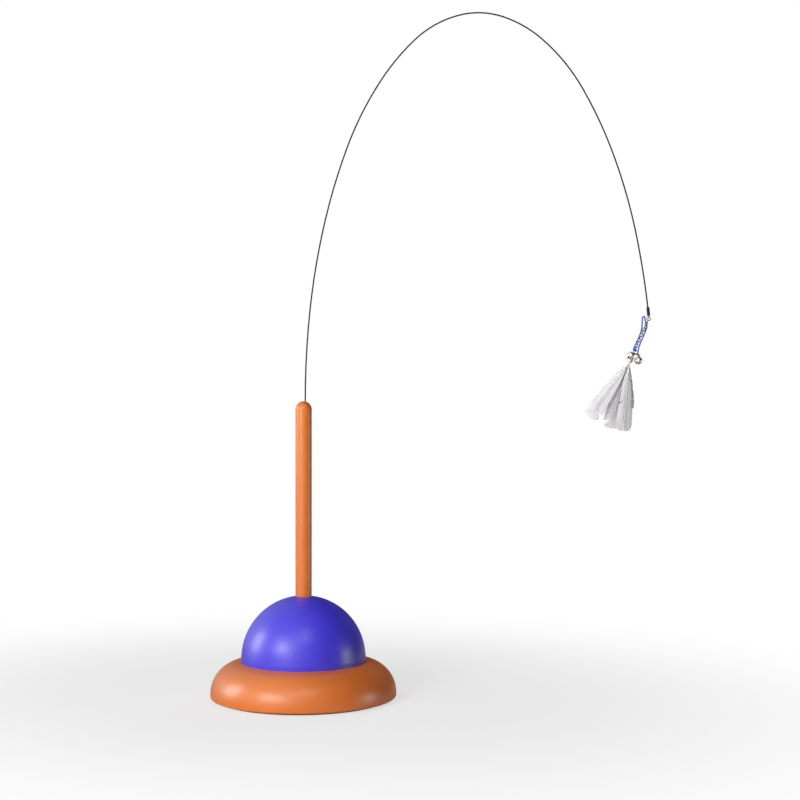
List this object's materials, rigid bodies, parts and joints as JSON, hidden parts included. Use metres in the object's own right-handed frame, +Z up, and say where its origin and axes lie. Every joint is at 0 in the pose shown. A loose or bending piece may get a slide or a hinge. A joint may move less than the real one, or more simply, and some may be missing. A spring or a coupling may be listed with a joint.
{
  "type": "automatic cat toy",
  "caption": "Domed round base with a motor-driven upright rod whose long arched spring wire swings a chain, jingle bells and feathers for a cat to chase.",
  "frame": {"origin": "centre of the base on the floor, on the axis that the wand turns about", "axes": "+Z up along the wand's rod, +X towards the side that the wire arches over to"},
  "size_m": [0.356, 0.15, 0.555],
  "materials": {
    "ring_orange": "satin moulded plastic",
    "dome_purple": "satin moulded plastic",
    "rod_orange": "satin moulded plastic",
    "plate_orange": "fine moulded texture",
    "pad_rubber": "matt",
    "switch_black": "matt",
    "ballast_iron": "sand cast",
    "machine_steel": "turned",
    "motor_steel": "drawn and plated",
    "cell_jacket": "printed sleeve",
    "contact_nickel": "nickel plated",
    "board_green": "solder mask",
    "component_black": "moulded",
    "lead_insulation": "smooth",
    "end_cap_white": "moulded",
    "gear_acetal": "waxy",
    "pinion_brass": "cut",
    "frame_grey": "moulded",
    "bush_bronze": "sintered",
    "wire_dark": "dark oxide",
    "sleeve_navy": "shrunk tube",
    "chain_silver": "plated",
    "bell_silver": "plated",
    "cap_silver": "turned",
    "cord_blue": "twisted",
    "feather_white": "barbs on a quill"
  },
  "bodies": {
    "base": {"base_ring": "ring_orange", "dome_cover": "dome_purple", "base_plate": "plate_orange", "anti_slip_ring": "pad_rubber", "ballast_ring": "ballast_iron", "base_screws": "machine_steel", "battery_cells": "cell_jacket", "battery_plates": "contact_nickel", "battery_leaf_springs": "contact_nickel", "circuit_board": "board_green", "controller_chip": "component_black", "smoothing_capacitor": "component_black", "switch_body": "switch_black", "motor_leads": "lead_insulation", "battery_leads": "lead_insulation", "motor_can": "motor_steel", "motor_end_cap": "end_cap_white", "gear_pins": "machine_steel", "gear_chassis": "frame_grey", "gear_cover": "frame_grey", "gearbox_screws": "machine_steel", "lower_bush": "bush_bronze", "upper_bush": "bush_bronze", "rod_bush": "gear_acetal"},
    "wand": {"output_gear": "gear_acetal", "output_shaft": "machine_steel", "drive_hub": "frame_grey", "wand_rod": "rod_orange", "wand_wire": "wire_dark", "tip_sleeve": "sleeve_navy", "tip_eye": "chain_silver"},
    "second_gear": {"second_gear": "gear_acetal"},
    "first_gear": {"first_gear": "gear_acetal"},
    "rotor": {"motor_shaft": "machine_steel", "motor_pinion": "pinion_brass"},
    "switch_knob": {"switch_knob": "switch_black"},
    "battery_door": {"battery_door": "plate_orange"},
    "jump_ring": {"jump_ring": "chain_silver"},
    "lure": {"link_chain": "chain_silver", "lure_cord": "cord_blue", "cord_knot": "cord_blue", "bell_ring": "chain_silver", "left_bell": "bell_silver", "right_bell": "bell_silver", "bell_balls": "machine_steel", "feather_cap": "cap_silver", "left_feather": "feather_white", "right_feather": "feather_white", "middle_feather": "feather_white", "narrow_feather": "feather_white"}
  },
  "joints": [
    {"name": "wand_spin", "type": "hinge", "parent": "base", "child": "wand", "pos_m": [0, 0, 0], "axis": [0, 0, 1], "continuous": true},
    {"name": "second_gear_spin", "type": "hinge", "parent": "base", "child": "second_gear", "pos_m": [0.01949, -0.01125, 0], "axis": [0, 0, 1], "continuous": true},
    {"name": "first_gear_spin", "type": "hinge", "parent": "base", "child": "first_gear", "pos_m": [0.0111, -0.02369, 0], "axis": [0, 0, 1], "continuous": true},
    {"name": "rotor_spin", "type": "hinge", "parent": "base", "child": "rotor", "pos_m": [-0.00385, -0.02238, 0], "axis": [0, 0, 1], "continuous": true},
    {"name": "switch_slide", "type": "slide", "parent": "base", "child": "switch_knob", "axis": [1, 0, 0], "range_m": [0, 0.004]},
    {"name": "door_slide", "type": "slide", "parent": "base", "child": "battery_door", "axis": [0, -1, 0], "range_m": [0, 0.008]},
    {"name": "jump_ring_swing", "type": "hinge", "parent": "wand", "child": "jump_ring", "pos_m": [0.27944, 0, 0.30742], "axis": [0, 1, 0], "range_deg": [-70, 15]},
    {"name": "lure_swing", "type": "hinge", "parent": "jump_ring", "child": "lure", "pos_m": [0.27854, 0, 0.3054], "axis": [0.9135, 0, -0.4067], "range_deg": [-45, 45]}
  ],
  "couplings": [
    {"joint": "second_gear_spin", "follows": "wand_spin", "ratio": -4},
    {"joint": "first_gear_spin", "follows": "wand_spin", "ratio": 16},
    {"joint": "rotor_spin", "follows": "wand_spin", "ratio": -64}
  ]
}
